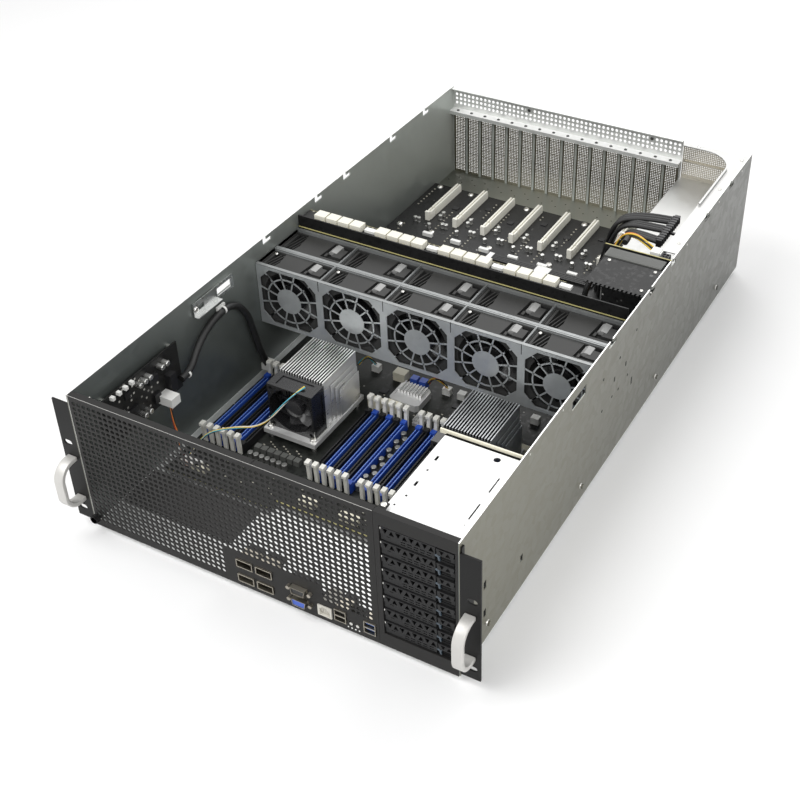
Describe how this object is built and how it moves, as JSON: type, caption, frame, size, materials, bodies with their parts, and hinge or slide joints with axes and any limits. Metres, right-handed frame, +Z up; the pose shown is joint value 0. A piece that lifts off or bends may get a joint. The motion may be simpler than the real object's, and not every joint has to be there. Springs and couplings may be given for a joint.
{
  "type": "4u gpu server",
  "caption": "Open rack server: perforated front with drive trays, heatsinks with fans, a wall of hot-swap fans, and a card board over a vented rear.",
  "frame": {"origin": "middle of the chassis underside: half its width, half the depth of its box, on the bottom face", "axes": "X to the right seen from the front, Y from the front panel to the rear panel, Z up"},
  "size_m": [0.4826, 0.858, 0.1745],
  "materials": {
    "galvanised": "zinc-coated sheet, satin",
    "bright_steel": "bright zinc-coated sheet, satin",
    "black_paint": "black powder coat",
    "handle_metal": "satin anodised",
    "board": "dark solder mask, satin",
    "board_black": "black solder mask, satin",
    "socket_plastic": "moulded, satin",
    "latch_plastic": "moulded, satin",
    "heatsink_metal": "bare fins",
    "fan_plastic": "moulded",
    "module_plastic": "moulded, satin",
    "cage_steel": "blue-grey satin",
    "tray_plastic": "moulded, satin",
    "button_plastic": "moulded",
    "supply_steel": "zinc-coated sheet",
    "cable_sheath": "satin sheath"
  },
  "bodies": {
    "chassis": {"chassis_tray": "galvanised", "front_panel": "black_paint", "drive_cage": "bright_steel", "rack_ears": "black_paint", "rack_handles": "handle_metal", "motherboard": "board", "dimm_slots": "socket_plastic", "cpu_heatsinks": "heatsink_metal", "fan_cage": "cage_steel", "gpu_board": "board_black", "power_board": "board_black", "rear_panel": "galvanised", "slot_covers": "bright_steel", "psu_cage": "bright_steel", "wiring": "cable_sheath"},
    "drive_tray_1": {"drive_tray_1": "tray_plastic"},
    "tray_lever_1": {"tray_lever_1": "tray_plastic"},
    "drive_tray_2": {"drive_tray_2": "tray_plastic"},
    "tray_lever_2": {"tray_lever_2": "tray_plastic"},
    "drive_tray_3": {"drive_tray_3": "tray_plastic"},
    "tray_lever_3": {"tray_lever_3": "tray_plastic"},
    "drive_tray_4": {"drive_tray_4": "tray_plastic"},
    "tray_lever_4": {"tray_lever_4": "tray_plastic"},
    "drive_tray_5": {"drive_tray_5": "tray_plastic"},
    "tray_lever_5": {"tray_lever_5": "tray_plastic"},
    "drive_tray_6": {"drive_tray_6": "tray_plastic"},
    "tray_lever_6": {"tray_lever_6": "tray_plastic"},
    "drive_tray_7": {"drive_tray_7": "tray_plastic"},
    "tray_lever_7": {"tray_lever_7": "tray_plastic"},
    "drive_tray_8": {"drive_tray_8": "tray_plastic"},
    "tray_lever_8": {"tray_lever_8": "tray_plastic"},
    "fan_module_front_1": {"fan_module_front_1": "module_plastic"},
    "fan_rotor_front_1": {"fan_rotor_front_1": "fan_plastic"},
    "fan_module_front_2": {"fan_module_front_2": "module_plastic"},
    "fan_rotor_front_2": {"fan_rotor_front_2": "fan_plastic"},
    "fan_module_front_3": {"fan_module_front_3": "module_plastic"},
    "fan_rotor_front_3": {"fan_rotor_front_3": "fan_plastic"},
    "fan_module_front_4": {"fan_module_front_4": "module_plastic"},
    "fan_rotor_front_4": {"fan_rotor_front_4": "fan_plastic"},
    "fan_module_front_5": {"fan_module_front_5": "module_plastic"},
    "fan_rotor_front_5": {"fan_rotor_front_5": "fan_plastic"},
    "fan_module_rear_1": {"fan_module_rear_1": "module_plastic"},
    "fan_rotor_rear_1": {"fan_rotor_rear_1": "fan_plastic"},
    "fan_module_rear_2": {"fan_module_rear_2": "module_plastic"},
    "fan_rotor_rear_2": {"fan_rotor_rear_2": "fan_plastic"},
    "fan_module_rear_3": {"fan_module_rear_3": "module_plastic"},
    "fan_rotor_rear_3": {"fan_rotor_rear_3": "fan_plastic"},
    "fan_module_rear_4": {"fan_module_rear_4": "module_plastic"},
    "fan_rotor_rear_4": {"fan_rotor_rear_4": "fan_plastic"},
    "fan_module_rear_5": {"fan_module_rear_5": "module_plastic"},
    "fan_rotor_rear_5": {"fan_rotor_rear_5": "fan_plastic"},
    "cpu_rotor_left": {"cpu_rotor_left": "fan_plastic"},
    "cpu_rotor_right": {"cpu_rotor_right": "fan_plastic"},
    "psu_1": {"psu_1": "supply_steel"},
    "psu_2": {"psu_2": "supply_steel"},
    "psu_3": {"psu_3": "supply_steel"},
    "dimm_latches_front": {"dimm_latches_front": "latch_plastic"},
    "dimm_latches_rear": {"dimm_latches_rear": "latch_plastic"},
    "power_button": {"power_button": "button_plastic"},
    "locate_button": {"locate_button": "button_plastic"}
  },
  "joints": [
    {"name": "drive_tray_1_slide", "type": "slide", "parent": "chassis", "child": "drive_tray_1", "axis": [0, -1, 0], "range_m": [0, 0.12]},
    {"name": "tray_lever_1_swing", "type": "hinge", "parent": "drive_tray_1", "child": "tray_lever_1", "pos_m": [0.2122, -0.3972, 0.1503], "axis": [0, 0, 1], "range_deg": [0, 70]},
    {"name": "drive_tray_2_slide", "type": "slide", "parent": "chassis", "child": "drive_tray_2", "axis": [0, -1, 0], "range_m": [0, 0.12]},
    {"name": "tray_lever_2_swing", "type": "hinge", "parent": "drive_tray_2", "child": "tray_lever_2", "pos_m": [0.2122, -0.3972, 0.1327], "axis": [0, 0, 1], "range_deg": [0, 70]},
    {"name": "drive_tray_3_slide", "type": "slide", "parent": "chassis", "child": "drive_tray_3", "axis": [0, -1, 0], "range_m": [0, 0.12]},
    {"name": "tray_lever_3_swing", "type": "hinge", "parent": "drive_tray_3", "child": "tray_lever_3", "pos_m": [0.2122, -0.3972, 0.1151], "axis": [0, 0, 1], "range_deg": [0, 70]},
    {"name": "drive_tray_4_slide", "type": "slide", "parent": "chassis", "child": "drive_tray_4", "axis": [0, -1, 0], "range_m": [0, 0.12]},
    {"name": "tray_lever_4_swing", "type": "hinge", "parent": "drive_tray_4", "child": "tray_lever_4", "pos_m": [0.2122, -0.3972, 0.0975], "axis": [0, 0, 1], "range_deg": [0, 70]},
    {"name": "drive_tray_5_slide", "type": "slide", "parent": "chassis", "child": "drive_tray_5", "axis": [0, -1, 0], "range_m": [0, 0.12]},
    {"name": "tray_lever_5_swing", "type": "hinge", "parent": "drive_tray_5", "child": "tray_lever_5", "pos_m": [0.2122, -0.3972, 0.0799], "axis": [0, 0, 1], "range_deg": [0, 70]},
    {"name": "drive_tray_6_slide", "type": "slide", "parent": "chassis", "child": "drive_tray_6", "axis": [0, -1, 0], "range_m": [0, 0.12]},
    {"name": "tray_lever_6_swing", "type": "hinge", "parent": "drive_tray_6", "child": "tray_lever_6", "pos_m": [0.2122, -0.3972, 0.0623], "axis": [0, 0, 1], "range_deg": [0, 70]},
    {"name": "drive_tray_7_slide", "type": "slide", "parent": "chassis", "child": "drive_tray_7", "axis": [0, -1, 0], "range_m": [0, 0.12]},
    {"name": "tray_lever_7_swing", "type": "hinge", "parent": "drive_tray_7", "child": "tray_lever_7", "pos_m": [0.2122, -0.3972, 0.0447], "axis": [0, 0, 1], "range_deg": [0, 70]},
    {"name": "drive_tray_8_slide", "type": "slide", "parent": "chassis", "child": "drive_tray_8", "axis": [0, -1, 0], "range_m": [0, 0.12]},
    {"name": "tray_lever_8_swing", "type": "hinge", "parent": "drive_tray_8", "child": "tray_lever_8", "pos_m": [0.2122, -0.3972, 0.0271], "axis": [0, 0, 1], "range_deg": [0, 70]},
    {"name": "fan_module_front_1_slide", "type": "slide", "parent": "chassis", "child": "fan_module_front_1", "axis": [0, 0, 1], "range_m": [0, 0.085]},
    {"name": "fan_rotor_front_1_spin", "type": "hinge", "parent": "fan_module_front_1", "child": "fan_rotor_front_1", "pos_m": [-0.175, -0.066, 0.1103], "axis": [0, 1, 0], "continuous": true},
    {"name": "fan_module_front_2_slide", "type": "slide", "parent": "chassis", "child": "fan_module_front_2", "axis": [0, 0, 1], "range_m": [0, 0.085]},
    {"name": "fan_rotor_front_2_spin", "type": "hinge", "parent": "fan_module_front_2", "child": "fan_rotor_front_2", "pos_m": [-0.0888, -0.066, 0.1103], "axis": [0, 1, 0], "continuous": true},
    {"name": "fan_module_front_3_slide", "type": "slide", "parent": "chassis", "child": "fan_module_front_3", "axis": [0, 0, 1], "range_m": [0, 0.085]},
    {"name": "fan_rotor_front_3_spin", "type": "hinge", "parent": "fan_module_front_3", "child": "fan_rotor_front_3", "pos_m": [-0.0026, -0.066, 0.1103], "axis": [0, 1, 0], "continuous": true},
    {"name": "fan_module_front_4_slide", "type": "slide", "parent": "chassis", "child": "fan_module_front_4", "axis": [0, 0, 1], "range_m": [0, 0.085]},
    {"name": "fan_rotor_front_4_spin", "type": "hinge", "parent": "fan_module_front_4", "child": "fan_rotor_front_4", "pos_m": [0.0836, -0.066, 0.1103], "axis": [0, 1, 0], "continuous": true},
    {"name": "fan_module_front_5_slide", "type": "slide", "parent": "chassis", "child": "fan_module_front_5", "axis": [0, 0, 1], "range_m": [0, 0.085]},
    {"name": "fan_rotor_front_5_spin", "type": "hinge", "parent": "fan_module_front_5", "child": "fan_rotor_front_5", "pos_m": [0.1698, -0.066, 0.1103], "axis": [0, 1, 0], "continuous": true},
    {"name": "fan_module_rear_1_slide", "type": "slide", "parent": "chassis", "child": "fan_module_rear_1", "axis": [0, 0, 1], "range_m": [0, 0.085]},
    {"name": "fan_rotor_rear_1_spin", "type": "hinge", "parent": "fan_module_rear_1", "child": "fan_rotor_rear_1", "pos_m": [-0.175, -0.022, 0.1103], "axis": [0, 1, 0], "continuous": true},
    {"name": "fan_module_rear_2_slide", "type": "slide", "parent": "chassis", "child": "fan_module_rear_2", "axis": [0, 0, 1], "range_m": [0, 0.085]},
    {"name": "fan_rotor_rear_2_spin", "type": "hinge", "parent": "fan_module_rear_2", "child": "fan_rotor_rear_2", "pos_m": [-0.0888, -0.022, 0.1103], "axis": [0, 1, 0], "continuous": true},
    {"name": "fan_module_rear_3_slide", "type": "slide", "parent": "chassis", "child": "fan_module_rear_3", "axis": [0, 0, 1], "range_m": [0, 0.085]},
    {"name": "fan_rotor_rear_3_spin", "type": "hinge", "parent": "fan_module_rear_3", "child": "fan_rotor_rear_3", "pos_m": [-0.0026, -0.022, 0.1103], "axis": [0, 1, 0], "continuous": true},
    {"name": "fan_module_rear_4_slide", "type": "slide", "parent": "chassis", "child": "fan_module_rear_4", "axis": [0, 0, 1], "range_m": [0, 0.085]},
    {"name": "fan_rotor_rear_4_spin", "type": "hinge", "parent": "fan_module_rear_4", "child": "fan_rotor_rear_4", "pos_m": [0.0836, -0.022, 0.1103], "axis": [0, 1, 0], "continuous": true},
    {"name": "fan_module_rear_5_slide", "type": "slide", "parent": "chassis", "child": "fan_module_rear_5", "axis": [0, 0, 1], "range_m": [0, 0.085]},
    {"name": "fan_rotor_rear_5_spin", "type": "hinge", "parent": "fan_module_rear_5", "child": "fan_rotor_rear_5", "pos_m": [0.1698, -0.022, 0.1103], "axis": [0, 1, 0], "continuous": true},
    {"name": "cpu_rotor_left_spin", "type": "hinge", "parent": "chassis", "child": "cpu_rotor_left", "pos_m": [-0.103, -0.188, 0.05215], "axis": [0, 1, 0], "continuous": true},
    {"name": "cpu_rotor_right_spin", "type": "hinge", "parent": "chassis", "child": "cpu_rotor_right", "pos_m": [0.1065, -0.188, 0.05215], "axis": [0, 1, 0], "continuous": true},
    {"name": "psu_1_slide", "type": "slide", "parent": "chassis", "child": "psu_1", "axis": [0, 1, 0], "range_m": [0, 0.28]},
    {"name": "psu_2_slide", "type": "slide", "parent": "chassis", "child": "psu_2", "axis": [0, 1, 0], "range_m": [0, 0.28]},
    {"name": "psu_3_slide", "type": "slide", "parent": "chassis", "child": "psu_3", "axis": [0, 1, 0], "range_m": [0, 0.28]},
    {"name": "dimm_latches_front_swing", "type": "hinge", "parent": "chassis", "child": "dimm_latches_front", "pos_m": [0, -0.2452, 0.0089], "axis": [1, 0, 0], "range_deg": [0, 30]},
    {"name": "dimm_latches_rear_swing", "type": "hinge", "parent": "chassis", "child": "dimm_latches_rear", "pos_m": [0, -0.1148, 0.0089], "axis": [-1, 0, 0], "range_deg": [0, 30]},
    {"name": "power_button_slide", "type": "slide", "parent": "chassis", "child": "power_button", "axis": [0, 1, 0], "range_m": [0, 0.0015], "stiffness_N_per_m": 600, "springref_m": -0.001},
    {"name": "locate_button_slide", "type": "slide", "parent": "chassis", "child": "locate_button", "axis": [0, 1, 0], "range_m": [0, 0.0015], "stiffness_N_per_m": 600, "springref_m": -0.001}
  ]
}
